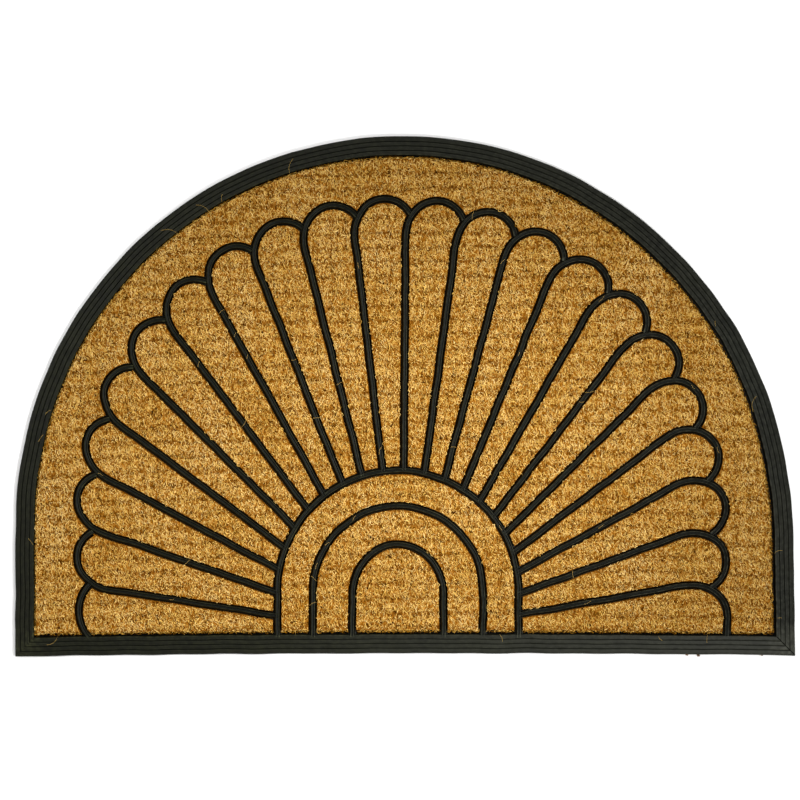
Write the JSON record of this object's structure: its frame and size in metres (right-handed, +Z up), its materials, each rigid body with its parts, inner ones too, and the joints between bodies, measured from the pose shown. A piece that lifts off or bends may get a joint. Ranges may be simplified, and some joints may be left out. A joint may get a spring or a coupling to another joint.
{
  "type": "coir doormat",
  "caption": "Half-moon doormat: a woven coir panel held in a moulded rubber back with a stepped border and raised ribs that draw a fan of petals around nested arches",
  "frame": {"origin": "bottom centre of the bounding box, on the floor under the middle of the mat", "axes": "+X along the straight edge, +Y from the straight edge to the crown of the arch, +Z up out of the coir"},
  "size_m": [0.75, 0.5006, 0.011],
  "materials": {
    "coir": "matt, coarse woven coir yarn",
    "rubber": "moulded, soft sheen"
  },
  "bodies": {
    "root": {"coir_panel": "coir", "rubber_moulding": "rubber"}
  },
  "joints": []
}
